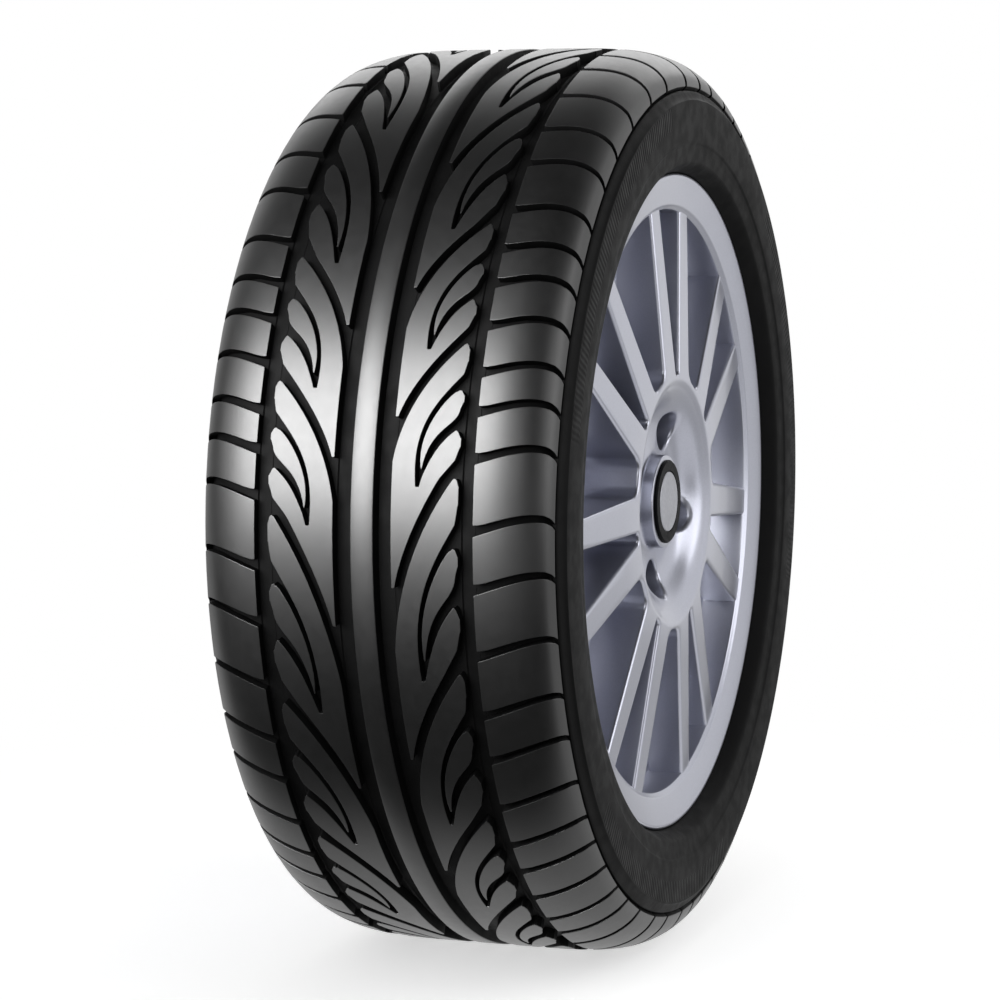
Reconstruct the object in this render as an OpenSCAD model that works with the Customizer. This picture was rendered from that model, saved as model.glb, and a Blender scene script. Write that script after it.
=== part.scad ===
// Car tyre mounted on a cast alloy wheel.
// The spin axis lies along Y, the outer face looks towards -Y and +Z is up.
// Every shape is drawn around its own Z axis, outer face up, and turned by upright().

/* [Tyre] */
// Diameter over the tread
tyre_d = 648; // [620:1:700]
// Width over the shoulders, where the crown curve would meet the sidewall
shoulder_w = 251.8; // [244:0.2:260]
// Height of the crown curve, from its end on the sidewall to the tread
crown_drop = 48.6; // [42:0.2:56]
// Squareness of the crown across the tyre
crown_across = 5.46; // [4.5:0.02:6.5]
// Squareness of the crown down to the sidewall
crown_down = 2.3; // [1.9:0.05:2.8]
// Widest place of the sidewall
section_w = 252; // [246:0.5:258]
// Rubber and belts under the tread grooves
undertread = 8; // [6:0.5:12]
// Thickness of the sidewall
sidewall_t = 11; // [8:0.5:14]
// Width of each bead on its seat
bead_w = 21; // [18:0.5:24]

/* [Tread] */
// Half width of the rib along the middle
rib_half = 7.75; // [6:0.25:10]
// Outer edge of the two grooves beside the rib
centre_groove_out = 19.9; // [18:0.1:21]
// Inner edge of the two outer grooves, where the leaves end
outer_groove_in = 65.4; // [64:0.1:67]
// Outer edge of the two outer grooves, where the shoulder blocks start
outer_groove_out = 75; // [73:0.1:77]
// Depth of the grooves that run round the tyre
main_depth = 8.4; // [6:0.1:10]
// Depth of the curved grooves between them
side_depth = 7.6; // [5:0.1:9]
// Width of a shoulder groove at its inner end
shoulder_groove_in = 6; // [4:0.1:8]
// Width of a shoulder groove at its outer end
shoulder_groove_out = 4.2; // [3:0.1:6]
// Angle by which the inner side's pattern trails the outer side's
side_shift = 4.8; // [0:0.1:10]
// Angle on the tread at which the first pitch starts
first_pitch = 85.3; // [0:0.1:360]
// Length of each pitch in the order they come round, in shares of a turn
pitch_lengths = [25.2, 21.8, 15.5, 15.5, 22.6, 20.4, 17.4, 17.4, 20.4, 15.5,
    17.4, 22.6, 20.4, 15.5, 17.4, 17.4, 22.6, 15.5, 19.4];

/* [Rim] */
// Radius of the bead seats at the flanges
seat_r = 218.3; // [216:0.1:220]
// Width between the two flanges
rim_w = 215; // [205:0.5:225]
// Height of a flange over its bead seat
flange_h = 16.7; // [14:0.1:19]
// Thickness of a flange
flange_t = 4.5; // [3:0.1:6]
// Slope of the bead seats
seat_angle = 5; // [0:0.5:8]
// Depth of the drop centre under the bead seats
well_depth = 17.5; // [12:0.5:22]
// Wall of the barrel
barrel_t = 5.5; // [4:0.1:8]
// Clearance between tyre and rim
tyre_gap = 0.3; // [0.1:0.05:0.8]

/* [Spokes] */
// Number of spoke pairs
pair_count = 7; // [5:1:8]
// Angle of the first pair, from the horizontal
pair_angle = 88.3; // [0:0.1:360]
// Distance from the axis to the inner end of the openings
window_in = 92.5; // [88:0.5:100]
// Half width of a pair at the inner end of the openings
pair_half_in = 29.4; // [24:0.1:33]
// Half width of a pair at the rim
pair_half_out = 44.9; // [38:0.1:50]
// Half width of the slot inside a pair at its inner end
slot_half_in = 3.4; // [2:0.1:6]
// Half width of the slot inside a pair at the rim
slot_half_out = 24; // [15:0.1:28]
// Corner radius of the openings
window_corner = 11; // [4:0.5:11]
// Height of the spoke face at the hub, from the middle of the wheel
face_hub = 112.2; // [108:0.1:116]
// Height of the spoke face at the rim
face_rim = 104.8; // [100:0.1:107]
// Depth of the spokes at the rim
spoke_depth = 27; // [20:0.5:32]

/* [Hub] */
// Distance of the mounting face from the middle of the wheel
offset_et = 40; // [35:0.5:45]
// Radius of the hub bore
bore_r = 33.05; // [30:0.05:36]
// Depth of the hub bore
bore_depth = 22; // [12:0.5:24]
// Radius of the mounting pad
pad_r = 74; // [72:0.5:78]
// Radius of the bowl at its edge
bowl_r = 82.5; // [80:0.5:85]
// Height of the bowl's floor
bowl_floor = 92.5; // [88:0.5:96]
// Outer radius of the boss round the cap
boss_r = 33.5; // [32:0.1:36]
// Height of the boss's front face
boss_top = 104.4; // [101:0.1:108]
// Radius of the cap's seat in the boss
cap_bore_r = 28; // [25:0.1:29]
// Number of wheel bolts
bolt_count = 5; // [4:1:5]
// Diameter of the circle on which the bolts stand
bolt_circle = 114.3; // [108:0.1:118]
// Angle of the first bolt, from the horizontal
bolt_angle = -14; // [-36:0.5:36]
// Radius of a bolt hole
bolt_hole_r = 7; // [6:0.1:8]
// Radius of the pocket that a bolt head sits in
pocket_r = 13.5; // [12:0.1:14.5]
// Height of the pocket's floor over the mounting face
pocket_floor = 15; // [10:0.5:20]

/* [Cap] */
// Outer radius of the cap's rim
cap_r = 30; // [29.5:0.1:32]
// Thickness of the cap's rim
cap_t = 2.4; // [1.5:0.1:4]
// Radius of the plain disc in the cap
disc_r = 21.5; // [18:0.1:24]
// Thickness of the disc
disc_t = 1.6; // [1:0.1:2]
// Length of the cap's snap legs
leg_len = 12; // [8:0.5:16]
// Clearance of the cap in its seat
cap_gap = 0.25; // [0.1:0.05:0.5]

/* [Valve] */
// Angle of the valve, from the horizontal
valve_angle = 165.4; // [0:0.1:360]
// Radius of the valve hole
valve_hole_r = 5.7; // [5.5:0.1:6]
// Length of the valve inside the wheel
valve_len = 33; // [28:0.5:36]

/* [Hidden] */
$fn = 96;

tyre_r = tyre_d/2;
half_w = section_w/2;
shoulder_half = shoulder_w/2;
crown_end_r = tyre_r - crown_drop;
rim_half = rim_w/2;
flange_r = seat_r + flange_h;
flange_face = rim_half + flange_t;
well_r = seat_r - well_depth;
rubber = "#1d1d1f";
silver = "#b9bac6";
black_plastic = "#141416";

// Radius of the tread surface at a distance z from the middle plane
function crown_r(z) = crown_end_r + (tyre_r - crown_end_r)
    *pow(1 - pow(min(abs(z)/shoulder_half, 1), crown_across), 1/crown_down);

// Point of a cubic curve with four control points
function cubic(c, t) = pow(1 - t, 3)*c[0] + 3*pow(1 - t, 2)*t*c[1]
    + 3*(1 - t)*t*t*c[2] + pow(t, 3)*c[3];
function curve(c, n) = [for (i = [0:n]) cubic(c, i/n)];
function backwards(list) = [for (i = [len(list) - 1:-1:0]) list[i]];
function sum_to(list, n) = n <= 0 ? 0 : list[n - 1] + sum_to(list, n - 1);

module upright() { rotate([90, 0, 0]) children(); }

// Extrudes a flat outline, drawn as tangent and axis, outwards along a radius
module radial(angle, from_r, length) {
    rotate([0, 0, angle]) rotate([90, 0, 90]) translate([0, 0, from_r])
        linear_extrude(length) children();
}

// Tread pattern
// A point of the pattern is its distance from the middle plane and its place along
// the pitches, where whole numbers are the outer tips of the leaves.
turn = sum_to(pitch_lengths, len(pitch_lengths));
pitches = [for (p = pitch_lengths) 360*p/turn];
pitch_starts = [for (i = [0:len(pitches)]) sum_to(pitches, i)];
function pitch_of(i) = pitches[(i + 2*len(pitches))%len(pitches)];
function angle_in(i, u) = u < 0 ? u*pitch_of(i - 1)
    : u > 1 ? pitch_of(i) + (u - 1)*pitch_of(i + 1) : u*pitch_of(i);
groove_ref_r = tyre_r + 0.5;
cutter_from = tyre_r - crown_drop + 4;
cutter_len = crown_drop + 12;
mouth = outer_groove_in + 2;
edge = outer_groove_in - 0.4;
long_steps = 5;
thin_steps = 4;
long_upper = [[62.1, -0.138], [52.1, 0], [23.3, 0.345], [19.75, 0.663]];
long_lower = [[61, 0], [35.1, 0.293], [20.6, 0.637], [18.75, 1.007]];
first_inner = [[63.3, 0.224], [47.5, 0.438], [32.3, 0.609], [36.25, 1.04]];
first_outer = [[60.5, 0.354], [58.8, 0.337], [34.7, 0.622], [39.2, 0.921]];
second_inner = [[63.4, 0.485], [62.2, 0.62], [44.5, 0.616], [40, 0.935]];
second_outer = [[60.5, 0.648], [49.4, 0.746], [43.5, 0.886], [38.6, 1.04]];
groove_inside = centre_groove_out - 3;

long_groove = concat([[mouth, -0.245], [edge, -0.235], [63.9, -0.2]],
    curve(long_upper, long_steps), [[groove_inside, 0.7], [groove_inside, 1]],
    backwards(curve(long_lower, long_steps)),
    [[62.6, -0.012], [64.1, 0.003], [edge, 0.03], [mouth, 0.05]]);
first_groove = concat([[mouth, 0.12], [edge, 0.13], [64.3, 0.175]],
    curve(first_inner, thin_steps), [[38.4, 1.045], [39.6, 0.95]],
    backwards(curve(first_outer, thin_steps)),
    [[61.7, 0.342], [63.4, 0.348], [edge, 0.38], [mouth, 0.4]]);
second_groove = concat([[mouth, 0.42], [edge, 0.435]],
    curve(second_inner, thin_steps), [[39.6, 0.95], [36.4, 1], [36.35, 1.04]],
    backwards(curve(second_outer, thin_steps)),
    [[61.6, 0.638], [63, 0.65], [edge, 0.695], [mouth, 0.71]]);

// Angle round the axis at which pitch i starts
function start_of(i) = 180 - first_pitch + 360*floor(i/len(pitches))
    + pitch_starts[(i + len(pitches))%len(pitches)];

// Cuts one groove of pitch i; mid is the place on the pitch that faces straight out
module pattern_groove(outline, i, mid) {
    mid_angle = angle_in(i, mid);
    intersection() {
        groove_room(start_of(i) + mid_angle, 18);
        radial(start_of(i) + mid_angle, cutter_from, cutter_len)
            polygon([for (p = outline)
                [groove_ref_r*sin(angle_in(i, p[1]) - mid_angle), p[0]]]);
    }
}

// A shoulder groove's middle line, as distance from the middle plane and rise along the tread
shoulder_line = [[outer_groove_out - 1.5, -1], [shoulder_half - 30.9, 5.5],
    [shoulder_half - 4.9, 17], [shoulder_half - 1.9, 0]];
shoulder_steps = 4;
shoulder_shares = [0, 0.36, 0.655];
shoulder_lead = 2.4;
corner_cut = 1.6;
corner_share = 0.08;

module shoulder_groove(angle) {
    shares = [0, corner_share, for (i = [1:shoulder_steps]) i/shoulder_steps];
    line = [for (t = shares) cubic(shoulder_line, t)];
    half = [for (t = shares)
        (shoulder_groove_in + (shoulder_groove_out - shoulder_groove_in)*t)/2];
    last = len(shares) - 1;
    intersection() {
        groove_room(angle, 4);
        radial(angle, cutter_from, cutter_len)
            polygon(concat([[-line[0][1] - half[0] - corner_cut, line[0][0]]],
                [for (i = [1:last]) [-line[i][1] - half[i], line[i][0]]],
                [for (i = [last:-1:2]) [-line[i][1] + half[i], line[i][0]]],
                [[-line[0][1] + half[0], line[0][0]]]));
    }
}

// Room above the groove floors, over a stretch of the tread on both sides of an angle
floor_z = shoulder_half - 29.9;
floor_end_r = tyre_r - 29.8;
module groove_room(mid, reach) {
    outside = [shoulder_half + half_w, tyre_r + 30];
    rotate_extrude(angle = 2*reach, start = mid - reach) polygon([
        [tyre_r - side_depth, 0], [tyre_r - side_depth, outer_groove_out + 2],
        [crown_r(floor_z) - side_depth + 0.6, floor_z], [tyre_r - 21, shoulder_half - 15.3],
        [floor_end_r, shoulder_half - 8.5], [floor_end_r, outside[0]], [outside[1], outside[0]],
        [outside[1], 0]]);
}

// Grooves of one half of the tread, from pitch first to pitch last
module side_pattern(first, last) {
    for (i = [first:last]) {
        pattern_groove(long_groove, i, 0.4);
        pattern_groove(first_groove, i, 0.55);
        pattern_groove(second_groove, i, 0.7);
        for (share = shoulder_shares)
            shoulder_groove(start_of(i) - shoulder_lead + share*pitch_of(i));
    }
}

// Outer outline of one half of the tyre, from the middle of the tread to the bead
crown_z = [for (below = [35.9, 23.9, 14.9, 8.5]) shoulder_half - below];
notch_r = tyre_r - 31.2;
notch_z = shoulder_half - 7.5;
bead_r = flange_r + 1.6;
function wall_r(share) = bead_r + share*(notch_r - bead_r);
main_floor = tyre_r - main_depth;
function seat_at(z) = seat_r - (rim_half - z)*tan(seat_angle);
toe_z = rim_half - bead_w;
heel_z = rim_half - 5.3;
function half_outline() = concat(
    [[tyre_r, 0], [tyre_r, rib_half - 0.6], [tyre_r - 0.6, rib_half],
     [main_floor, rib_half + 0.8], [main_floor, centre_groove_out - 0.8],
     [crown_r(centre_groove_out), centre_groove_out],
     [crown_r(0.7*outer_groove_in), 0.7*outer_groove_in],
     [crown_r(outer_groove_in), outer_groove_in],
     [main_floor, outer_groove_in + 0.8], [main_floor, outer_groove_out - 0.8],
     [crown_r(outer_groove_out), outer_groove_out]],
    [for (z = crown_z) [crown_r(z), z]],
    [[notch_r + 3.6, notch_z + 2.6], [notch_r + 3, notch_z], [notch_r + 0.6, notch_z],
     [notch_r, notch_z + 3], [wall_r(0.975), half_w - 4], [wall_r(0.9075), half_w - 1.6],
     [wall_r(0.895), half_w - 0.4], [wall_r(0.772), half_w], [wall_r(0.594), half_w],
     [wall_r(0.363), half_w - 0.8], [wall_r(0.331), half_w - 1.9], [wall_r(0.121), half_w - 3.7],
     [wall_r(0.0854), half_w - 4.8], [wall_r(0.0427), half_w - 8.6],
     [bead_r, flange_face + 0.6], [flange_r + tyre_gap, rim_half + 1.1],
     [flange_r - 1.3, rim_half - tyre_gap], [seat_r + 5.2, rim_half - tyre_gap],
     [seat_r + 1.4, rim_half - tyre_gap - 1.4], [seat_at(heel_z) + tyre_gap, heel_z]]);

// Inner outline of the same half, from the bead toe to the middle
liner_r = tyre_r - main_depth - undertread + 1;
liner_low = seat_r + 15;
liner_half = half_w - sidewall_t;
function liner_wall(share) = liner_low + share*(liner_r - 17.6 - liner_low);
function half_liner() = [[seat_at(toe_z + 0.8) + tyre_gap, toe_z + 0.8], [seat_at(toe_z) + 1.2, toe_z],
    [seat_r + 5.5, toe_z + 0.6], [liner_low, toe_z + 6], [liner_wall(0.186), liner_half - 7],
    [liner_wall(0.359), liner_half - 2], [liner_wall(0.567), liner_half],
    [liner_wall(0.81), liner_half - 0.6], [liner_r - 17.6, shoulder_half - 16.9],
    [liner_r - 9.6, shoulder_half - 25.9], [liner_r - 5, shoulder_half - 37.9],
    [liner_r - 2.6, shoulder_half - 55.9], [liner_r - 0.5, shoulder_half - 85.9], [liner_r, 0]];

// The tyre is made in sectors that meet face to face; each is cut by its own grooves. Their
// edges lie at whole tenths of a degree, so that neighbours share exactly the same face.
sector_count = 7;
sector_lead = 2.1;
sector_pitch = [for (s = [0:sector_count]) round(s*len(pitches)/sector_count)];
sector_edge = [for (s = [0:sector_count])
    round(10*(start_of(sector_pitch[s % sector_count]) + sector_lead))/10 + (s == sector_count ? 360 : 0)];
module tyre_sector(s) {
    half = concat(half_outline(), half_liner());
    other = backwards([for (p = half) if (p[1] > 0) [p[0], -p[1]]]);
    first = sector_pitch[s];
    last = sector_pitch[s + 1];
    difference() {
        rotate_extrude(angle = sector_edge[s + 1] - sector_edge[s], start = sector_edge[s])
            polygon(concat(half, other));
        side_pattern(first - 1, last);
        rotate([0, 0, side_shift]) mirror([0, 0, 1]) side_pattern(first - 1, last);
    }
}

module tyre() {
    color(rubber) upright() union() {
        for (s = [0:sector_count - 1]) tyre_sector(s);
    }
}

// Rim, from the middle of each flange's top down to the drop centre
drop_z = rim_half - 31;
drop_r = seat_r - 3.5;
well_z = rim_half - 46;
drop_len = norm([drop_r - well_r, drop_z - well_z]);
drop_lean = atan2(drop_r - well_r, drop_z - well_z);
// Shift of the drop wall's inner side against its outer side
drop_in = [-barrel_t*cos(drop_lean), barrel_t*sin(drop_lean)];
well_in = well_r - barrel_t;
well_in_z = well_z + drop_in[1] - (well_r + drop_in[0] - well_in)/tan(drop_lean);
barrel_in = seat_r - 9.1;
barrel_in_z = well_in_z + (barrel_in - well_in)/tan(drop_lean);
lip_r = seat_r - 6.1;
lip_z = rim_half - 1.1;
tail_r = seat_r - 9.7;

function flange_and_seat() = [[flange_r - 1.6, flange_face], [flange_r, flange_face - 1.6],
    [flange_r, rim_half + 1.2], [flange_r - 1.2, rim_half], [seat_r + 5, rim_half],
    [seat_r + 1.1, rim_half - 1.5], [seat_at(heel_z), heel_z],
    [seat_at(rim_half - 22), rim_half - 22], [seat_r + 0.2, rim_half - 24.5],
    [seat_r, rim_half - 26.5]];

module barrel() {
    outboard = flange_and_seat();
    inboard = [for (p = backwards(flange_and_seat())) [p[0], -p[1]]];
    rotate_extrude() polygon(concat(outboard,
        [[drop_r, drop_z], [well_r + 1.5, well_z + 1.6], [well_r, well_z - 1.6], [well_r, 8],
         [seat_r - 6, -14], [seat_r - 4.5, -drop_z]], inboard,
        [[seat_r - 4.3, -flange_face], [seat_r - 7.3, -flange_face + 3], [tail_r, -rim_half + 6],
         [tail_r, -rim_half + 34], [seat_r - 12, -17], [well_in, 4], [well_in, well_in_z],
         [barrel_in, barrel_in_z], [barrel_in, lip_z - 3], [lip_r - 1.2, lip_z - 1.1],
         [lip_r, lip_z]]));
}

// Section of the hub and the spokes, out to inside the barrel's wall
disc_out = barrel_in + 3;
disc_back = face_rim - spoke_depth + 2.2;
function face_at(r) = face_hub + (face_rim - face_hub)*(r - window_in)/(barrel_in - window_in);
module hub_and_face() {
    rotate_extrude() polygon([[cap_bore_r, boss_top], [boss_r - 0.8, boss_top],
        [boss_r, boss_top - 0.8], [boss_r, bowl_floor + 4], [boss_r + 1.2, bowl_floor + 1.2],
        [boss_r + 4, bowl_floor], [bowl_r - 31, bowl_floor], [bowl_r - 23, bowl_floor + 1.2],
        [bowl_r - 16.5, bowl_floor + 4.8], [bowl_r - 11.5, bowl_floor + 9.6],
        [bowl_r - 7.5, bowl_floor + 13.4], [bowl_r - 3.5, bowl_floor + 15.9],
        [bowl_r, bowl_floor + 17.4], [bowl_r + 4, face_at(bowl_r + 4) - 0.9],
        [bowl_r + 8, face_at(bowl_r + 8)], [disc_out, face_at(disc_out)],
        [disc_out, disc_back], [120, disc_back - 5], [100, disc_back - 8],
        [88, disc_back - 14], [pad_r + 5, offset_et + 10], [pad_r, offset_et + 2],
        [pad_r - 2, offset_et], [bore_r + 1, offset_et], [bore_r, offset_et + 1],
        [bore_r, offset_et + bore_depth], [cap_bore_r, offset_et + bore_depth + 3]]);
}

// Openings between the spokes, drawn flat with their own axis along X
function pair_half(u) = pair_half_in + (pair_half_out - pair_half_in)*(u - 90)/115;
function slot_half(u) = slot_half_in + (slot_half_out - slot_half_in)*(u - 90)/115;
half_step = 180/pair_count;
function edge_point(u) = [u*cos(half_step) + pair_half(u)*sin(half_step),
    u*sin(half_step) - pair_half(u)*cos(half_step)];
window_in_u = (window_in - pair_half_in*sin(half_step))/cos(half_step);
opening_out = disc_out + 12;

module window() {
    inner = edge_point(window_in_u);
    outer = edge_point(opening_out);
    offset(r = window_corner, $fn = 32) offset(delta = -window_corner)
        polygon([inner, outer, [outer[0], -outer[1]], [inner[0], -inner[1]]]);
}

module slot() {
    corner = slot_half_in - 0.2;
    inner = slot_half(window_in);
    outer = slot_half(opening_out);
    offset(r = corner, $fn = 24) offset(delta = -corner)
        polygon([[window_in - 1, -inner], [opening_out, -outer], [opening_out, outer],
            [window_in - 1, inner]]);
}

// Cuts a flat outline through the whole face
module through_face() {
    translate([0, 0, offset_et - 10]) linear_extrude(face_hub + 30 - offset_et) children();
}

module bolt_hole() {
    seat_top = offset_et + pocket_floor;
    translate([0, 0, offset_et - 1]) cylinder(r = bolt_hole_r, h = pocket_floor + 2);
    translate([0, 0, seat_top - 7]) cylinder(r1 = bolt_hole_r, r2 = bolt_hole_r + 4, h = 7.01);
    translate([0, 0, seat_top]) cylinder(r = pocket_r, h = 80);
}

module valve_place() {
    middle = [(drop_r + well_r)/2 + drop_in[0], (drop_z + well_z)/2 + drop_in[1]];
    rotate([0, 0, valve_angle]) translate([middle[0], 0, middle[1]])
        rotate([0, drop_lean - 90, 0]) children();
}

module wheel() {
    color(silver) upright() difference() {
        union() {
            barrel();
            difference() {
                hub_and_face();
                for (i = [0:pair_count - 1])
                    rotate([0, 0, pair_angle + i*360/pair_count]) {
                        through_face() slot();
                        rotate([0, 0, half_step]) through_face() window();
                    }
                for (i = [0:bolt_count - 1])
                    rotate([0, 0, bolt_angle + i*360/bolt_count]) {
                        translate([bolt_circle/2, 0, 0]) bolt_hole();
                        rotate([0, 0, 180/bolt_count]) translate([bolt_circle/2, 0, offset_et - 1])
                            cylinder(r = bolt_hole_r + 3, h = bore_depth);
                    }
            }
        }
        valve_place() translate([0, 0, -15]) cylinder(r = valve_hole_r, h = 25);
    }
}

// Cap
module centre_cap() {
    skirt_r = cap_bore_r - cap_gap;
    color(black_plastic) upright() difference() {
        translate([0, 0, boss_top]) rotate_extrude() polygon([[0, -1.2], [skirt_r - 2, -1.2],
            [skirt_r - 2, -leg_len], [skirt_r - 0.6, -leg_len], [skirt_r, -leg_len + 1.2],
            [skirt_r, 0], [cap_r, 0], [cap_r, cap_t - 1], [cap_r - 1, cap_t],
            [disc_r + 0.9, cap_t], [disc_r + cap_gap, cap_t - 0.6],
            [disc_r + cap_gap, cap_t - disc_t], [0, cap_t - disc_t]]);
        for (i = [0:2])
            rotate([0, 0, 60*i]) translate([-cap_r, -3, boss_top - leg_len - 1])
                cube([2*cap_r, 6, leg_len - 1]);
    }
}

module cap_disc() {
    color("#8f929b") upright() translate([0, 0, boss_top + cap_t - disc_t])
        rotate_extrude() polygon([[0, 0], [disc_r, 0], [disc_r, disc_t - 0.5],
            [disc_r - 0.5, disc_t], [0, disc_t + 0.3]]);
}

// Valve, pointing inwards and outboard from the drop wall
tube_r = 2.6;
core_r = 1.5;
thread_r = 3.9;
stem_top = valve_len - 14;
module valve_stem() {
    neck = valve_hole_r - 0.1;
    color("#232325") upright() valve_place() rotate_extrude()
        polygon([[tube_r, -barrel_t - 9], [6.4, -barrel_t - 9], [8.2, -barrel_t - 2.2],
            [8.2, -barrel_t - 0.1], [neck, -barrel_t - 0.1], [neck, 0.1], [8, 0.1], [8, 2.6],
            [5.6, 6], [4.6, stem_top - 2], [4.2, stem_top], [tube_r, stem_top]]);
}

module valve_tube() {
    color("#b79a55") upright() valve_place() rotate_extrude()
        polygon([[core_r, -barrel_t - 9], [tube_r, -barrel_t - 9], [tube_r, stem_top],
            [thread_r, stem_top], [thread_r, valve_len - 2.5], [thread_r - 0.5, valve_len - 2],
            [core_r, valve_len - 2]]);
}

module valve_core() {
    color("#d9d4c2") upright() valve_place() translate([0, 0, valve_len - 22])
        rotate_extrude() polygon([[0, 0], [1.1, 0], [1.4, 1], [1.4, 12], [0.9, 12.5],
            [0.9, 16], [1.4, 16.5], [1.4, 18.6], [0.4, 18.6], [0.4, 19.6], [0, 19.6]]);
}

module valve_cap() {
    color("#1a1a1c") upright() valve_place() translate([0, 0, stem_top + 1])
        rotate_extrude() polygon([[thread_r + 0.1, 0], [thread_r + 1.3, 0],
            [thread_r + 1.3, valve_len - stem_top - 2], [thread_r + 0.5, valve_len - stem_top - 1],
            [0, valve_len - stem_top - 1], [0, valve_len - stem_top - 2.6],
            [thread_r + 0.1, valve_len - stem_top - 2.6]]);
}

tyre();
wheel();
centre_cap();
cap_disc();
valve_stem();
valve_tube();
valve_core();
valve_cap();
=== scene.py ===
"""Car tyre on its cast wheel: dressed pieces, finishes, studio and camera."""

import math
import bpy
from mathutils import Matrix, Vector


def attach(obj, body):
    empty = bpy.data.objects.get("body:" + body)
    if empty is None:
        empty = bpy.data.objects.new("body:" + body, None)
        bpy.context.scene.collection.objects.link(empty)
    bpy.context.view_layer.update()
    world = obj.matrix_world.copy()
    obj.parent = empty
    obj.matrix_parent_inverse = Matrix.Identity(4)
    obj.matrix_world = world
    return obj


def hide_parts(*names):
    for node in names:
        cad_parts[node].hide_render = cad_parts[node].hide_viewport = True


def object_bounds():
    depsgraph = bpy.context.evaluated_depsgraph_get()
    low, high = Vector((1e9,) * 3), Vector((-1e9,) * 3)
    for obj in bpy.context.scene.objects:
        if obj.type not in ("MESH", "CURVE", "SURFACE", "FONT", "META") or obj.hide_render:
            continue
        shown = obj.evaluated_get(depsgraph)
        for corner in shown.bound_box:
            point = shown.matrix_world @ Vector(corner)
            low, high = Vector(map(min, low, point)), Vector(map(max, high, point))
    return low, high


bl_info = {
    "name": "Car tyre on its wheel",
    "version": (1, 0, 0),
    "blender": (4, 5, 0),
    "location": "View3D > Sidebar > Tyre",
    "description": "Models the tread, sidewalls and casting round the packed solids and dresses them",
    "category": "Object",
}

import bmesh
import bpy
from bpy.props import FloatProperty, FloatVectorProperty, PointerProperty
from mathutils import Matrix, Vector

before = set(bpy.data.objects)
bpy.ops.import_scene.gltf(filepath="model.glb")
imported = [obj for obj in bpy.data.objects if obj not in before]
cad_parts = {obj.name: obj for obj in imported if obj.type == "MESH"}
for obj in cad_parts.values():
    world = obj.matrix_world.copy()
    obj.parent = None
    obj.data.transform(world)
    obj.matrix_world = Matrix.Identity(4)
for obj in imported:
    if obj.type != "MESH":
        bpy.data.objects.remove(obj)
CAD_LOW, CAD_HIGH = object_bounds()
MM = 0.001
TYRE_R = (CAD_HIGH.z - CAD_LOW.z) / 2 / MM

# Sizes shared with the solids, in mm and degrees
# The crown's radius at its end, its half width, and the powers of its curve
CROWN_END_R = 275.4
SHOULDER_HALF = 125.9
CROWN_ACROSS, CROWN_DOWN = 5.46, 2.3
# The middle rib and the straight grooves, by their distance from the middle plane
RIB_HALF = 7.75
CENTRE_GROOVE_OUT = 19.9
OUTER_GROOVE_IN, OUTER_GROOVE_OUT = 65.4, 75.0
MAIN_DEPTH, SIDE_DEPTH = 8.4, 7.6
# The pattern: how far one half is turned against the other, where it starts, and its pitches
SIDE_SHIFT = 4.8
FIRST_PITCH = 85.3
PITCH_LENGTHS = (25.2, 21.8, 15.5, 15.5, 22.6, 20.4, 17.4, 17.4, 20.4, 15.5,
                 17.4, 22.6, 20.4, 15.5, 17.4, 17.4, 22.6, 15.5, 19.4)
# The shoulder grooves: their line as (z, rise), their places in a pitch, and their widths
SHOULDER_LINE = ((73.5, -1), (95, 5.5), (121, 17), (124, 0))
SHOULDER_SHARES = (0, 0.36, 0.655)
SHOULDER_LEAD = 2.4
SHOULDER_GROOVE_IN, SHOULDER_GROOVE_OUT = 6.0, 4.2
# The rim's seat and flange, and the tyre's clearance on it
SEAT_R, RIM_HALF, FLANGE_R, FLANGE_FACE = 218.3, 107.5, 235.0, 112.0
TYRE_GAP = 0.3

TURN = sum(PITCH_LENGTHS)
PITCHES = [360 * p / TURN for p in PITCH_LENGTHS]


def crown_r(z):
    """Radius of the tread surface at a distance z from the middle plane."""
    share = min(abs(z) / SHOULDER_HALF, 1)
    return CROWN_END_R + (TYRE_R - CROWN_END_R) * (1 - share**CROWN_ACROSS) ** (1 / CROWN_DOWN)


def pitch_of(i):
    """Length of pitch i in degrees; the list starts again after a whole turn."""
    return PITCHES[i % len(PITCHES)]


def start_of(i):
    """Angle round the axis at which pitch i starts."""
    return 180 - FIRST_PITCH + 360 * (i // len(PITCHES)) + sum(PITCHES[: i % len(PITCHES)])


def angle_in(i, u):
    """Angle from the start of pitch i to the place u, counted in pitches."""
    if u < 0:
        return u * pitch_of(i - 1)
    if u > 1:
        return pitch_of(i) + (u - 1) * pitch_of(i + 1)
    return u * pitch_of(i)


def cubic(c, t):
    """The point at t, from 0 to 1, of a curve drawn by four points."""
    s = 1 - t
    w = (s**3, 3 * s * s * t, 3 * s * t * t, t**3)
    return [sum(k * p[a] for k, p in zip(w, c)) for a in (0, 1)]


def curve(c, n):
    """The curve of four points as n straight steps."""
    return [cubic(c, k / n) for k in range(n + 1)]


def between(table, x):
    """Straight interpolation in a table of (x, value, value...)."""
    for a, b in zip(table, table[1:]):
        if x <= b[0]:
            break
    t = (x - a[0]) / (b[0] - a[0])
    return [p + (q - p) * t for p, q in zip(a[1:], b[1:])]


def around(r, angle, z):
    """A point in the wheel's own frame, from its radius, angle in degrees and height on the axis."""
    a = math.radians(angle)
    return Vector((r * math.cos(a), r * math.sin(a), z))


# From the wheel's own frame, in mm with its outer face up, to the row's frame in metres
UPRIGHT = Matrix.Scale(MM, 4) @ Matrix.Rotation(math.radians(90), 4, "X")


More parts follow.
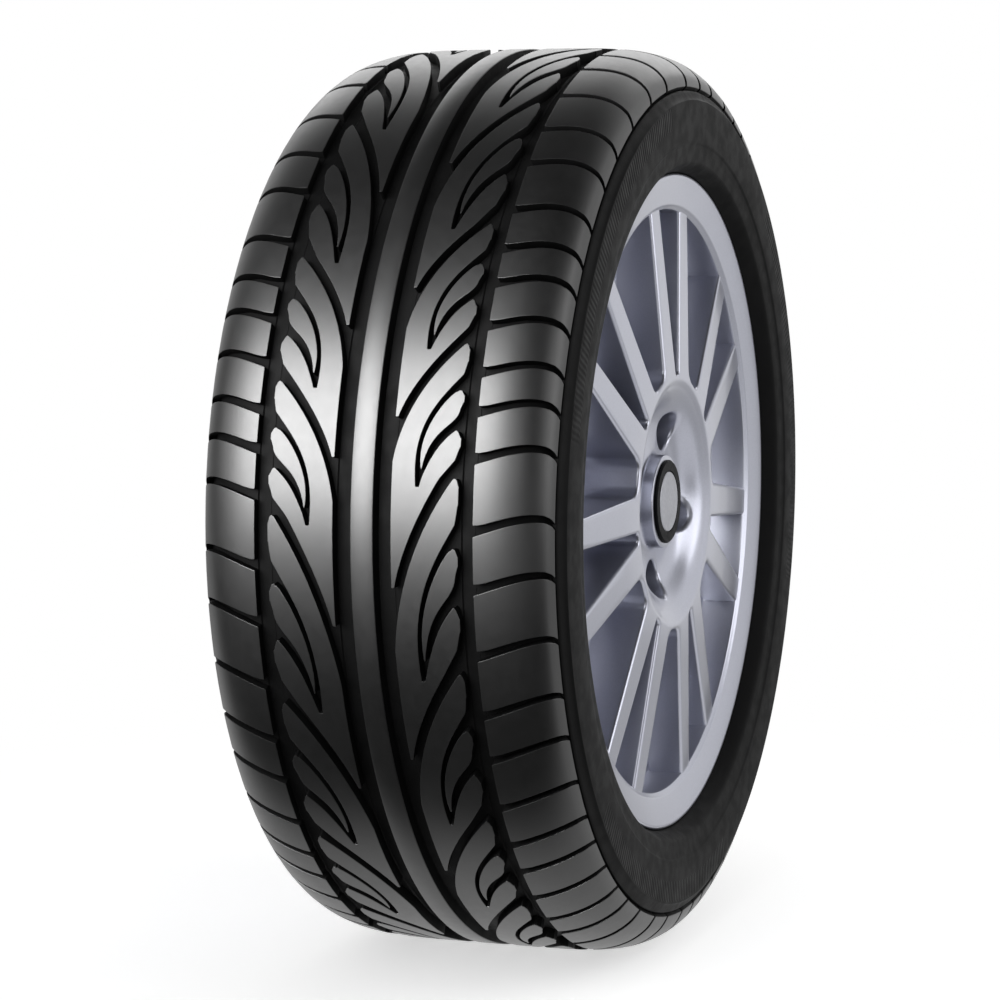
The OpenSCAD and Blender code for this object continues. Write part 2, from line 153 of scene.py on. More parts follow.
# Mesh helpers
def finished(name, bm, smooth=None):
    """Makes the object of a finished bmesh, smooth up to an angle in degrees."""
    mesh = bpy.data.meshes.new(name)
    bm.to_mesh(mesh)
    bm.free()
    mesh.polygons.foreach_set("use_smooth", [True] * len(mesh.polygons))
    if smooth is not None:
        mesh.set_sharp_from_angle(angle=math.radians(smooth))
    thing = bpy.data.objects.new(name, mesh)
    bpy.context.scene.collection.objects.link(thing)
    return thing


def lathe(outline, steps, closed=True):
    """Spins an outline of (radius, z) round the axis; an open one starts and ends on the axis."""
    bm = bmesh.new()
    verts = [bm.verts.new((r, 0, z)) for r, z in outline]
    pairs = list(zip(verts, verts[1:] + verts[:1]))
    edges = [bm.edges.new(pair) for pair in (pairs if closed else pairs[:-1])]
    bmesh.ops.spin(bm, geom=verts + edges, cent=(0, 0, 0), axis=(0, 0, 1), angle=math.tau,
                   steps=steps, use_merge=True)
    bmesh.ops.remove_doubles(bm, verts=bm.verts, dist=1e-3)
    bmesh.ops.recalc_face_normals(bm, faces=bm.faces)
    return bm


def prism(name, outline, low, high):
    """A straight prism over a flat outline, from low to high."""
    bm = bmesh.new()
    face = bm.faces.new([bm.verts.new((x, y, low)) for x, y in outline])
    top = bmesh.ops.extrude_face_region(bm, geom=[face])
    bmesh.ops.translate(bm, vec=(0, 0, high - low),
                        verts=[v for v in top["geom"] if isinstance(v, bmesh.types.BMVert)])
    bmesh.ops.recalc_face_normals(bm, faces=bm.faces)
    return finished(name, bm)


FLARE_ANGLES = range(0, 81, 16)
FLARE_RUN_OUT = (0.5, 0.12)
FLARE_TOP = 135


def flared(name, outline, surface, edge, turn, low=30):
    """A cutter whose mouth spreads by a rounding of radius edge up to a surface of height surface(r)."""
    ahead = outline[1:] + outline[:1]
    area = sum(a[0] * b[1] - b[0] * a[1] for a, b in zip(outline, ahead))
    ways = [Vector((b[1] - a[1], a[0] - b[0])).normalized() * math.copysign(1, area)
            for a, b in zip(outline[-1:] + outline[:-1], ahead)]
    arc = [math.radians(a) for a in FLARE_ANGLES]
    steps = [(edge * (1 - math.cos(a)), edge * (math.sin(a) - 1)) for a in arc]
    steps.append((steps[-1][0] + FLARE_RUN_OUT[0], steps[-1][1] + FLARE_RUN_OUT[1]))
    bm = bmesh.new()
    loops = [[bm.verts.new((*p, low)) for p in outline]]
    for out, rise in steps:
        spots = [Vector(p) + way * out for p, way in zip(outline, ways)]
        loops.append([bm.verts.new((*p, surface(p.length) + rise)) for p in spots])
    loops.append([bm.verts.new((*v.co.xy, FLARE_TOP)) for v in loops[-1]])
    for lower, upper in zip(loops, loops[1:]):
        for a, b, c, d in zip(lower, lower[1:] + lower[:1], upper[1:] + upper[:1], upper):
            bm.faces.new((a, b, c, d))
    bm.faces.new(loops[0])
    bm.faces.new(loops[-1])
    bmesh.ops.recalc_face_normals(bm, faces=bm.faces)
    bmesh.ops.transform(bm, matrix=turn, verts=bm.verts)
    return finished(name, bm)


def rounded(points, radius, steps):
    """The closed outline with each corner rounded to the radius."""
    out = []
    for k, p in enumerate(points):
        p, before, after = Vector(p), Vector(points[k - 1]), Vector(points[(k + 1) % len(points)])
        a, b = (before - p).normalized(), (after - p).normalized()
        corner = a.angle(b)
        reach = radius / math.tan(corner / 2)
        centre = p + (a + b).normalized() * (radius / math.sin(corner / 2))
        first, last = p + a * reach - centre, p + b * reach - centre
        turn = first.angle_signed(last)
        for n in range(steps + 1):
            out.append(tuple(centre + Matrix.Rotation(-turn * n / steps, 2) @ first))
    return out


def cut(body, cutters):
    """Takes the cutters out of the body and returns the result as a bmesh; all inputs are removed."""
    group = bpy.data.collections.new("cutters")
    for c in cutters:
        group.objects.link(c)
    boolean = body.modifiers.new("cut", "BOOLEAN")
    boolean.operation, boolean.solver = "DIFFERENCE", "EXACT"
    boolean.operand_type, boolean.collection = "COLLECTION", group
    mesh = bpy.data.meshes.new_from_object(body.evaluated_get(bpy.context.evaluated_depsgraph_get()))
    bm = bmesh.new()
    bm.from_mesh(mesh)
    bpy.data.meshes.remove(mesh)
    for thing in [*cutters, body]:
        data = thing.data
        bpy.data.objects.remove(thing)
        bpy.data.meshes.remove(data)
    bpy.data.collections.remove(group)
    return bm


def add_part(bm, part):
    """Adds the faces of a second bmesh to the first, and frees the second."""
    mesh = bpy.data.meshes.new("part")
    part.to_mesh(mesh)
    part.free()
    bm.from_mesh(mesh)
    bpy.data.meshes.remove(mesh)


def dress(name, finish):
    """Gives a solid of the frame its finish."""
    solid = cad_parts[name]
    solid.data.materials.clear()
    solid.data.materials.append(finish)


# Tread and carcass
def groove_outlines(i):
    """Outlines of the three curved grooves of pitch i, as (angle, z)."""
    mouth, edge = OUTER_GROOVE_IN + 2, OUTER_GROOVE_IN - 0.4
    inside = CENTRE_GROOVE_OUT - 3
    long_upper = ((62.1, -0.138), (52.1, 0), (23.3, 0.345), (19.75, 0.663))
    long_lower = ((61, 0), (35.1, 0.293), (20.6, 0.637), (18.75, 1.007))
    first_inner = ((63.3, 0.224), (47.5, 0.438), (32.3, 0.609), (36.25, 1.04))
    first_outer = ((60.5, 0.354), (58.8, 0.337), (34.7, 0.622), (39.2, 0.921))
    second_inner = ((63.4, 0.485), (62.2, 0.62), (44.5, 0.616), (40, 0.935))
    second_outer = ((60.5, 0.648), (49.4, 0.746), (43.5, 0.886), (38.6, 1.04))
    upper = [p for p in curve(long_upper, 26) if p[0] > CENTRE_GROOVE_OUT + 1.1]
    long_groove = ([(mouth, -.245), (edge, -.235), (63.9, -.2)] + upper
                   + [(inside, upper[-1][1]), (inside, 1)] + curve(long_lower, 26)[::-1]
                   + [(62.6, -.012), (64.1, .003), (edge, .03), (mouth, .05)])
    first_groove = ([(mouth, .12), (edge, .13), (64.3, .175)] + curve(first_inner, 18)
                    + [(38.6, 1.04), (39.6, .928)] + curve(first_outer, 16)[::-1]
                    + [(61.7, .342), (63.4, .348), (edge, .38), (mouth, .4)])
    second_groove = ([(mouth, .42), (edge, .435)] + curve(second_inner, 16)
                     + [(39.6, .928), (36.4, 1), (36.35, 1.04)] + curve(second_outer, 16)[::-1]
                     + [(61.6, .638), (63, .65), (edge, .695), (mouth, .71)])
    return [[(start_of(i) + angle_in(i, p[1]), p[0]) for p in line]
            for line in (long_groove, first_groove, second_groove)]


SHOULDER_STEPS = 14
MOUTH_SPREAD, MOUTH_SHARE = 1.6, 0.1
RUN_OUT, RUN_OUT_SHARE = 20, 0.8


def shoulder_outlines(i):
    """Outlines of the three shoulder grooves of pitch i, as (angle, z).

    Each spreads at its mouth on the outer groove and runs out past the shoulder's end.
    """
    per_mm = 180 / math.pi / TYRE_R
    out = []
    for share in SHOULDER_SHARES:
        angle = start_of(i) - SHOULDER_LEAD + share * pitch_of(i)
        upper, lower = [], []
        for k in range(SHOULDER_STEPS + 1):
            t = k / SHOULDER_STEPS
            z, rise = cubic(SHOULDER_LINE, t)
            half = (SHOULDER_GROOVE_IN + (SHOULDER_GROOVE_OUT - SHOULDER_GROOVE_IN) * t) / 2
            corner = MOUTH_SPREAD * max(0, 1 - t / MOUTH_SHARE)
            z += max(0, t - RUN_OUT_SHARE) * RUN_OUT
            upper.append((angle - (rise + half + corner) * per_mm, z))
            lower.append((angle - (rise - half) * per_mm, z))
        out.append(upper + lower[::-1])
    return out


# Past SHOULDER_BEND the blocks turn inwards to a last edge of radius LAST_R at the height LAST_Z
SHOULDER_BEND, SHOULDER_END = 117.4, 126.0
LAST_R, LAST_Z = 296.4, 121.0
# Station on the shoulder, then radius and height of the groove floor below it
SHOULDER_FLOOR = ((75, 316.4, 75), (77, 316.4, 77), (96, crown_r(96) - 7, 96), (110.6, 303, 110.6),
                  (SHOULDER_BEND, 295.6, 116.2), (SHOULDER_END, 293.2, 118.0))


def shoulder_top(y):
    """Radius and height of the shoulder blocks' surface at the station y."""
    if y <= SHOULDER_BEND:
        return crown_r(y), y
    t = (y - SHOULDER_BEND) / (SHOULDER_END - SHOULDER_BEND)
    start = crown_r(SHOULDER_BEND)
    return start + (LAST_R - start) * t, SHOULDER_BEND + (LAST_Z - SHOULDER_BEND) * (t + 0.5 * t * (1 - t))


STRIP_FROM, STRIP_TO = -25, 385
STRIP_PITCHES = range(-9, 18)
BLOCK_DEPTH, CUT_DEPTH, CUT_RISE = 9, 12, 3
BEND_STEP = 3
# Corners seen from above: angles from and to, rounding as a share of the top's, and its segments
CORNER_ROUNDS = ((140, 180, 3, 1), (48, 120, 1.2, 3))
LEAF_ROWS = (31, 42, 51, 59)
SHOULDER_ROWS = (80, 85, 90, 94, 98, 102, 105, 108, 111, 113.4, 115.6, SHOULDER_BEND, 119, 120.6,
                 122.2, 124)
ROOT_DEPTH = 1.2
WALL_LEAST, SHORT_EDGE = 0.5, 1
TOP_SKIN, NORMAL_STEP = 0.01, 0.3


def is_corner(edge, least, most):
    """Whether an edge runs down between two walls at such an angle, with no short edge beside it."""
    if len(edge.link_faces) != 2 or abs(edge.verts[0].co.z - edge.verts[1].co.z) <= WALL_LEAST:
        return False
    beside = min(b.calc_length() for v in edge.verts for b in v.link_edges if b is not edge)
    return math.radians(least) < edge.calc_face_angle(0) < math.radians(most) and beside > SHORT_EDGE


def round_edges(bm, edges, offset, segments):
    """Rounds the edges."""
    bmesh.ops.bevel(bm, geom=edges, offset=offset, offset_type="OFFSET", segments=segments,
                    profile=0.5, affect="EDGES", clamp_overlap=False, material=-1)


def slice_at(bm, place, way, drop=False):
    """Cuts new edges where a plane passes, and drops what lies past it if asked."""
    bmesh.ops.bisect_plane(bm, geom=bm.verts[:] + bm.edges[:] + bm.faces[:], plane_co=place,
                           plane_no=way, dist=1e-4, clear_outer=drop)


def block_strip(name, outlines, low, high, rows, rim):
    """Tread blocks left between grooves on a flat strip that is later bent round the tyre.

    x runs along the tread, per_deg mm for each degree, y is the station across it and z the depth.
    """
    per_deg = math.radians(1) * TYRE_R
    flat = [[(a * per_deg, z) for a, z in line] for line in outlines]
    start, end = STRIP_FROM * per_deg, STRIP_TO * per_deg
    body = prism(name, [(start, low), (end, low), (end, high), (start, high)], -BLOCK_DEPTH, 0)
    kept = [line for line in flat
            if max(p[0] for p in line) > start and min(p[0] for p in line) < end]
    bm = cut(body, [prism(f"cutter_{k}", line, -CUT_DEPTH, CUT_RISE) for k, line in enumerate(kept)])
    bmesh.ops.remove_doubles(bm, verts=bm.verts, dist=0.02)
    bmesh.ops.dissolve_limit(bm, angle_limit=math.radians(0.5), verts=bm.verts, edges=bm.edges)
    bmesh.ops.recalc_face_normals(bm, faces=bm.faces)
    for least, most, share, segments in CORNER_ROUNDS:
        round_edges(bm, [e for e in bm.edges if is_corner(e, least, most)], rim * share, segments)
    tops = [e for e in bm.edges if len(e.link_faces) == 2
            and max(f.normal.z for f in e.link_faces) > 0.9
            and min(f.normal.z for f in e.link_faces) < 0.5]
    round_edges(bm, tops, rim, 2)
    bm.normal_update()
    for f in bm.faces:
        f.material_index = 0 if f.normal.z > 0.25 else 1
    for x in range(BEND_STEP, 360, BEND_STEP):
        slice_at(bm, (x * per_deg, 0, 0), (1, 0, 0))
    for y in rows:
        slice_at(bm, (0, y, 0), (0, 1, 0))
    for x, side in ((0, -1), (360, 1)):
        slice_at(bm, (x * per_deg, 0, 0), (side, 0, 0), drop=True)
    return bm, per_deg


def bent(flat, per_deg, side, top_of, floor_of):
    """One side's copy of a flat strip, bent round the tyre; its tops keep the crown's normals."""
    part = flat.copy()
    facing = part.verts.layers.float_vector.new("facing")
    for v in part.verts:
        x, y, h = v.co
        angle = x / per_deg + (0 if side > 0 else SIDE_SHIFT)
        top, floor = top_of(y), floor_of(y)
        down = Vector((floor[0] - top[0], floor[1] - top[1]))
        depth = down.length
        reach = min(-h, depth + ROOT_DEPTH) / depth
        r, z = top[0] + down.x * reach, top[1] + down.y * reach
        v.co = around(r, angle, side * z)
        if h > -TOP_SKIN:
            below, above = top_of(y - NORMAL_STEP), top_of(y + NORMAL_STEP)
            rise, fall = above[1] - below[1], below[0] - above[0]
            v[facing] = around(rise, angle, side * fall).normalized()
    bmesh.ops.remove_doubles(part, verts=part.verts, dist=2e-3)
    if side < 0:
        bmesh.ops.reverse_faces(part, faces=part.faces)
    return part


def build_tread(rim):
    """Leaf blocks and shoulder blocks of both sides, with their top edges rounded by rim."""
    grooves = [line for i in STRIP_PITCHES for line in groove_outlines(i)]
    shoulders = [line for i in STRIP_PITCHES for line in shoulder_outlines(i)]
    leaf_strip = block_strip("leaves", grooves, CENTRE_GROOVE_OUT, OUTER_GROOVE_IN, LEAF_ROWS, rim)
    shoulder_strip = block_strip("shoulders", shoulders, OUTER_GROOVE_OUT, SHOULDER_END + 0.01,
                                 SHOULDER_ROWS, rim)
    tread = bmesh.new()
    for (flat, per_deg), top_of, floor_of in (
            (leaf_strip, lambda y: (crown_r(y), y), lambda y: (TYRE_R - SIDE_DEPTH, y)),
            (shoulder_strip, shoulder_top, lambda y: between(SHOULDER_FLOOR, y))):
        for side in (1, -1):
            add_part(tread, bent(flat, per_deg, side, top_of, floor_of))
        flat.free()
    bmesh.ops.transform(tread, matrix=UPRIGHT, verts=tread.verts)
    return tread


def face_crown(mesh):
    """Shades the tops of the blocks by the normals of the whole crown, kept on their points."""
    kept = mesh.attributes["facing"].data
    plain, spin = Vector((0, 0, 0)), UPRIGHT.to_3x3()
    ways = []
    for f in mesh.polygons:
        for k in f.loop_indices:
            way = spin @ kept[mesh.loops[k].vertex_index].vector if f.material_index == 0 else plain
            ways.append(way.normalized() if way.length else plain)
    mesh.normals_split_custom_set(ways)
    mesh.attributes.remove(mesh.attributes["facing"])


RIB_ROUND = 0.7
# Inside this radius the carcass is sidewall, and outside it groove floor
SIDEWALL_R = 294


def carcass_outline():
    """The middle rib, the groove floors, down the sidewall, round the bead and back inside."""
    side_floor, main_floor = TYRE_R - SIDE_DEPTH, TYRE_R - MAIN_DEPTH
    outer = [(TYRE_R, 0), (TYRE_R, RIB_HALF - RIB_ROUND), (TYRE_R - 0.2, RIB_HALF - RIB_ROUND * 0.3),
             (TYRE_R - RIB_ROUND, RIB_HALF), (main_floor + 1.2, RIB_HALF + 0.6),
             (main_floor + 0.3, RIB_HALF + 1.1), (main_floor, RIB_HALF + 2.2),
             (main_floor, CENTRE_GROOVE_OUT - 0.6), (side_floor, CENTRE_GROOVE_OUT + 0.3),
             (side_floor, OUTER_GROOVE_IN - 0.3), (main_floor, OUTER_GROOVE_IN + 0.6),
             (main_floor, OUTER_GROOVE_OUT - 0.6), (side_floor, OUTER_GROOVE_OUT + 0.3)]
    outer += [(r, z) for y, r, z in SHOULDER_FLOOR[1:]]
    outer += [(293.2, 120.6), (292.4, 121.6), (291.4, 122), (289.4, 123.2), (287.9, 124.1),
              (287.3, 124.9), (286.6, 125.7), (284, 126), (280, 126), (275, 126), (270, 126),
              (263, 125.7), (257.4, 125.2), (256.4, 125), (255.6, 124.4), (254.6, 124), (249, 123.3),
              (243.8, 122.5), (242.6, 122.1), (241.4, 121), (240.2, 119.2), (239, 117.2), (237.8, 115),
              (FLANGE_R + 1.6, FLANGE_FACE + 0.6), (FLANGE_R + 0.6, RIM_HALF + 2.6),
              (FLANGE_R + TYRE_GAP, RIM_HALF + 1.1), (FLANGE_R - 1.3, RIM_HALF - TYRE_GAP),
              (SEAT_R + 5.2, RIM_HALF - TYRE_GAP), (SEAT_R + 1.4, RIM_HALF - TYRE_GAP - 1.4),
              (217.9, 102.2), (217.0, 87.3), (219.5, 86.5)]
    inner = [(223.8, 87.1), (233.3, 92.5), (244, 108), (254, 113), (266, 115), (280, 114.4),
             (291, 109), (299, 100), (303.6, 88), (306, 70), (308.1, 40), (308.6, 0)]
    half = outer + inner
    return half + [(r, -z) for r, z in half[-2:0:-1]]


# Wheel
PAIR_COUNT, PAIR_ANGLE = 7, 88.3
HALF_STEP = math.pi / PAIR_COUNT
BARREL_IN, DISC_OUT, WINDOW_IN = 209.2, 212.2, 92.5
FACE_HUB, FACE_RIM = 112.2, 104.8
# Half widths of a pair of spokes, and of the slot in it, at SPOKE_FROM and SPOKE_SPAN further out
SPOKE_FROM, SPOKE_SPAN = 90, 115
PAIR_HALF_IN, PAIR_HALF_OUT = 29.4, 44.9
SLOT_HALF_IN, SLOT_HALF_OUT = 3.4, 24
WINDOW_CORNER, SLOT_CORNER, CUT_PAST = 11, 3.2, 12
BOLT_COUNT, BOLT_CIRCLE, BOLT_ANGLE = 5, 114.3, -14
POCKET_R, POCKET_FLOOR = 13.5, 56
# Sections of a bolt hole with its seat, and of a relief hole between two bolts, as (radius, z)
BOLT_HOLE = ((0, 39), (7, 39), (7, 48), (11, 55), (12.6, 55), (13.2, 55.3), (13.4, 56), (13.4, 57),
             (0, 57))
RELIEF_HOLE = ((0, 39), (10, 39), (10, 60.4), (9.4, 61), (0, 61))
OFFSET, BORE_R = 40, 33.05
HOLE_STEPS, HUB_STEPS, BARREL_STEPS, CARCASS_STEPS = 40, 252, 300, 360


def pair_half(u):
    """Half width of a pair of spokes at a distance u along it."""
    return PAIR_HALF_IN + (PAIR_HALF_OUT - PAIR_HALF_IN) * (u - SPOKE_FROM) / SPOKE_SPAN


def slot_half(u):
    """Half width of the slot in a pair of spokes at a distance u along it."""
    return SLOT_HALF_IN + (SLOT_HALF_OUT - SLOT_HALF_IN) * (u - SPOKE_FROM) / SPOKE_SPAN


def face_at(r):
    """Height of the spokes' front at a radius from the axis."""
    return FACE_HUB + (FACE_RIM - FACE_HUB) * (r - WINDOW_IN) / (BARREL_IN - WINDOW_IN)


def window_outline():
    """One opening between two pairs of spokes, with its own axis along X."""
    s, c = math.sin(HALF_STEP), math.cos(HALF_STEP)
    points = []
    for u in ((WINDOW_IN - PAIR_HALF_IN * s) / c, DISC_OUT + CUT_PAST):
        points.append((u * c + pair_half(u) * s, u * s - pair_half(u) * c))
    (x0, y0), (x1, y1) = points
    return rounded([(x0, y0), (x1, y1), (x1, -y1), (x0, -y0)], WINDOW_CORNER, 8)


def slot_outline():
    """The slot inside one pair of spokes."""
    end = DISC_OUT + CUT_PAST
    inner, outer = slot_half(WINDOW_IN), slot_half(end)
    return rounded([(WINDOW_IN - 1, -inner), (end, -outer), (end, outer), (WINDOW_IN - 1, inner)],
                   SLOT_CORNER, 6)


def hub_face():
    """Front of the hub, bowl and spokes as (radius, z)."""
    bowl, floor = 82.5, 92.5
    return [(28, 104.4), (32.6, 104.4), (33.1, 104.2), (33.4, 103.8), (33.5, 103.2), (33.5, floor + 4),
            (33.9, floor + 2.2), (35, floor + 0.9), (37.5, floor), (bowl - 31, floor),
            (bowl - 27, floor + 0.4), (bowl - 23, floor + 1.3), (bowl - 19.5, floor + 2.8),
            (bowl - 16.5, floor + 4.8), (bowl - 14, floor + 7.1), (bowl - 11.5, floor + 9.6),
            (bowl - 9.4, floor + 11.7), (bowl - 7.5, floor + 13.4), (bowl - 5.5, floor + 14.8),
            (bowl - 3.5, floor + 15.9), (bowl - 1.7, floor + 16.8), (bowl, floor + 17.4),
            (bowl + 2, floor + 18.1), (bowl + 4, face_at(bowl + 4) - 0.9),
            (bowl + 6, face_at(bowl + 6) - 0.3), (bowl + 8, face_at(bowl + 8)),
            (120, face_at(120)), (160, face_at(160)), (DISC_OUT, face_at(DISC_OUT))]


def face_height(r):
    """Height of the front face outside the boss, at a radius from the axis."""
    boss_foot = 37.5
    return between([p for p in hub_face() if p[0] >= boss_foot], max(r, boss_foot))[0]


def hub_outline():
    """Closed section of the hub, bowl and spokes, from the front face round to the mounting pad."""
    back = FACE_RIM - 24.8
    return hub_face() + [(DISC_OUT, back), (120, back - 5), (100, back - 8), (88, back - 14),
                         (79, OFFSET + 10), (74, OFFSET + 2), (72, OFFSET), (BORE_R + 1, OFFSET),
                         (BORE_R, OFFSET + 1), (BORE_R, OFFSET + 22), (28, OFFSET + 25)]


def barrel_outline():
    """Closed section of the rim, both flanges and the barrel."""
    flange = [(FLANGE_R - 1.9, FLANGE_FACE), (FLANGE_R - 0.8, FLANGE_FACE - 0.3),
              (FLANGE_R - 0.2, FLANGE_FACE - 0.9), (FLANGE_R, FLANGE_FACE - 1.8),
              (FLANGE_R, RIM_HALF + 1.2), (FLANGE_R - 0.4, RIM_HALF + 0.4), (FLANGE_R - 1.2, RIM_HALF),
              (SEAT_R + 5, RIM_HALF), (SEAT_R + 2.4, RIM_HALF - 0.4), (SEAT_R + 1.1, RIM_HALF - 1.5),
              (217.84, 102.2), (216.38, 85.5), (218.5, 83), (218.3, 81)]
    outer = [(214.8, 76.5), (202.3, 63.1), (200.8, 59.9), (200.8, 8), (212.3, -14), (213.8, -76.5)]
    inner = [(214, -FLANGE_FACE), (212.2, -FLANGE_FACE + 0.8), (211, -FLANGE_FACE + 3),
             (208.6, -RIM_HALF + 6), (208.6, -RIM_HALF + 34), (206.3, -17), (195.3, 4), (195.3, 63.6),
             (BARREL_IN, 78.5), (BARREL_IN, 102.6), (209.6, 104.2), (210.6, 105.1), (211.6, 105.6),
             (212.3, 106.3), (212.9, 106.8), (213.9, 107.07), (232.0, 111.71)]
    return flange + outer + [(r, -z) for r, z in flange[::-1]] + inner


def build_wheel(edge_round):
    """The casting: hub, bowl and spokes cut from one lathed form, and the barrel round them."""
    cutters = []
    for i in range(PAIR_COUNT):
        turn = Matrix.Rotation(math.radians(PAIR_ANGLE + i * 360 / PAIR_COUNT), 4, "Z")
        cutters.append(flared("slot", slot_outline(), face_height, edge_round, turn))
        cutters.append(flared("window", window_outline(), face_height, edge_round,
                              turn @ Matrix.Rotation(HALF_STEP, 4, "Z")))
    pocket = [(BOLT_CIRCLE / 2 + POCKET_R * math.cos(a), POCKET_R * math.sin(a))
              for a in [math.tau * k / HOLE_STEPS for k in range(HOLE_STEPS)]]
    for i in range(BOLT_COUNT):
        angle = math.radians(BOLT_ANGLE + i * 360 / BOLT_COUNT)
        cutters.append(flared("pocket", pocket, face_height, edge_round,
                              Matrix.Rotation(angle, 4, "Z"), POCKET_FLOOR))
        for step, outline in ((0, BOLT_HOLE), (math.pi / BOLT_COUNT, RELIEF_HOLE)):
            bm = lathe(outline, HOLE_STEPS, closed=False)
            bmesh.ops.transform(bm, verts=bm.verts, matrix=Matrix.Rotation(angle + step, 4, "Z")
                                @ Matrix.Translation((BOLT_CIRCLE / 2, 0, 0)))
            cutters.append(finished("bolt_hole", bm))
    bm = cut(finished("hub", lathe(hub_outline(), HUB_STEPS)), cutters)
    bmesh.ops.remove_doubles(bm, verts=bm.verts, dist=0.06)
    bmesh.ops.dissolve_degenerate(bm, edges=bm.edges, dist=0.03)
    bmesh.ops.recalc_face_normals(bm, faces=bm.faces)
    add_part(bm, lathe(barrel_outline(), BARREL_STEPS))
    bmesh.ops.transform(bm, matrix=UPRIGHT, verts=bm.verts)
    return bm


# Finishes
def node(tree, kind, inputs=(), **settings):
    """Adds a shader node; inputs are pairs of a socket and a value or another node's output."""
    made = tree.nodes.new("ShaderNode" + kind)
    for key, value in settings.items():
        setattr(made, key, value)
    for socket, value in inputs:
        if isinstance(value, bpy.types.NodeSocket):
            tree.links.new(value, made.inputs[socket])
        else:
            made.inputs[socket].default_value = value
    return made


def maths(tree, operation, *values):
    """Result of a sum, product or function of the values."""
    return node(tree, "Math", enumerate(values), operation=operation).outputs[0]


def ramp(tree, value, low, high, out_low=0.0, out_high=1.0):
    """Smooth change from out_low to out_high as value goes from low to high."""
    return node(tree, "MapRange", ((0, value), (1, low), (2, high), (3, out_low), (4, out_high)),
                interpolation_type="SMOOTHSTEP").outputs[0]


def blend_colour(tree, factor, a, b):
    """Colour between a and b, each a colour or another node's output."""
    mix = node(tree, "Mix", ((0, factor),), data_type="RGBA")
    for socket, value in ((6, a), (7, b)):
        if isinstance(value, bpy.types.NodeSocket):
            tree.links.new(value, mix.inputs[socket])
        else:
            mix.inputs[socket].default_value = (*value, 1)
    return mix.outputs[2]


def material(name, roughness, specular=0.5, metallic=0.0, coat=0.0):
    """A material with its even values set on the shader, and its tree and Object coordinates."""
    made = bpy.data.materials.new(name)
    made.use_nodes = True
    tree = made.node_tree
    shader = tree.nodes["Principled BSDF"]
    for socket, value in (("Roughness", roughness), ("Specular IOR Level", specular),
                          ("Metallic", metallic), ("Coat Weight", coat), ("Coat Roughness", 0.05)):
        shader.inputs[socket].default_value = value
    return made, tree, shader, node(tree, "TexCoord").outputs["Object"]


def noise(tree, coords, scale, detail=2.0, roughness=0.5):
    """Value of a noise pattern, from 0 to 1."""
    return node(tree, "TexNoise", (("Vector", coords), ("Scale", scale), ("Detail", detail),
                                   ("Roughness", roughness))).outputs[0]


def bump(tree, shader, height, strength, distance):
    """Tilts the shader's normal by a height of up to distance, in metres."""
    made = node(tree, "Bump", (("Height", height), ("Strength", strength), ("Distance", distance)))
    tree.links.new(made.outputs[0], shader.inputs["Normal"])


def shade(colour, share):
    """The colour made darker or paler by a share."""
    return tuple(min(c * share, 1) for c in colour)


def from_axis(tree, coords):
    """Distance from the wheel's axis."""
    flat = node(tree, "VectorMath", ((0, coords), (1, (1, 0, 1))), operation="MULTIPLY").outputs[0]
    return node(tree, "VectorMath", ((0, flat),), operation="LENGTH").outputs["Value"]


def cloudy(tree, shader, pattern, dark, light):
    """Sets the shader's base colour between dark and light by a pattern."""
    tree.links.new(blend_colour(tree, pattern, dark, light), shader.inputs["Base Color"])


def uneven(tree, shader, pattern, smooth, rough):
    """Sets the shader's roughness between smooth and rough by a noise pattern."""
    tree.links.new(ramp(tree, pattern, 0.3, 0.7, smooth, rough), shader.inputs["Roughness"])


def tread_rubber(colour, roughness):
    """Satin moulded rubber of the block tops, with a fine grain and faint clouding."""
    made, tree, shader, coords = material("tread_rubber", roughness, specular=0.65)
    clouds = noise(tree, coords, 14, 3)
    dust = noise(tree, coords, 160, 4, 0.6)
    cloudy(tree, shader, ramp(tree, clouds, 0.35, 0.65), shade(colour, 0.75), shade(colour, 1.35))
    uneven(tree, shader, dust, roughness - 0.012, roughness + 0.016)
    bump(tree, shader, noise(tree, coords, 900, 3, 0.6), 0.04, 0.0004)
    return made


def groove_rubber_painted_shade(colour):
    """Duller rubber of groove walls and floors, coloured darker than the block tops as painted shade in the
    grooves, with mould marks.
    """
    made, tree, shader, coords = material("groove_rubber_painted_shade", 0.62, specular=0.06)
    clouds = noise(tree, coords, 60, 4, 0.6)
    # Painted shade: the mould-mark clouding runs from half of the groove colour up to all of it, so the
    # grooves stay darker than the block tops
    cloudy(tree, shader, clouds, shade(colour, 0.5), colour)
    uneven(tree, shader, clouds, 0.56, 0.7)
    bump(tree, shader, noise(tree, coords, 500, 3, 0.6), 0.2, 0.0004)
    return made


def sidewall_rubber(colour):
    """Sidewall rubber with a faint grain, and fine radial ribs in a band that is left out in places."""
    made, tree, shader, coords = material("sidewall_rubber", 0.6, specular=0.08)
    apart = node(tree, "SeparateXYZ", ((0, coords),)).outputs
    radius = from_axis(tree, coords)
    angle = maths(tree, "ARCTAN2", apart[2], apart[0])
    ribs = maths(tree, "SINE", maths(tree, "MULTIPLY", angle, 420.0))
    band = maths(tree, "MULTIPLY", ramp(tree, radius, 0.2705, 0.2712),
                 ramp(tree, radius, 0.2858, 0.2851))
    arcs = maths(tree, "SINE", maths(tree, "ADD", maths(tree, "MULTIPLY", angle, 3.0), 0.8))
    part = ramp(tree, arcs, -0.15, -0.1)
    hatch = maths(tree, "MULTIPLY", maths(tree, "MULTIPLY", ribs, band), part)
    grain = maths(tree, "MULTIPLY", noise(tree, coords, 700, 3, 0.6), 0.5)
    cloudy(tree, shader, noise(tree, coords, 18, 3), shade(colour, 0.7), shade(colour, 1.25))
    uneven(tree, shader, noise(tree, coords, 90, 3), 0.55, 0.66)
    bump(tree, shader, maths(tree, "ADD", hatch, grain), 0.5, 0.0003)
    return made


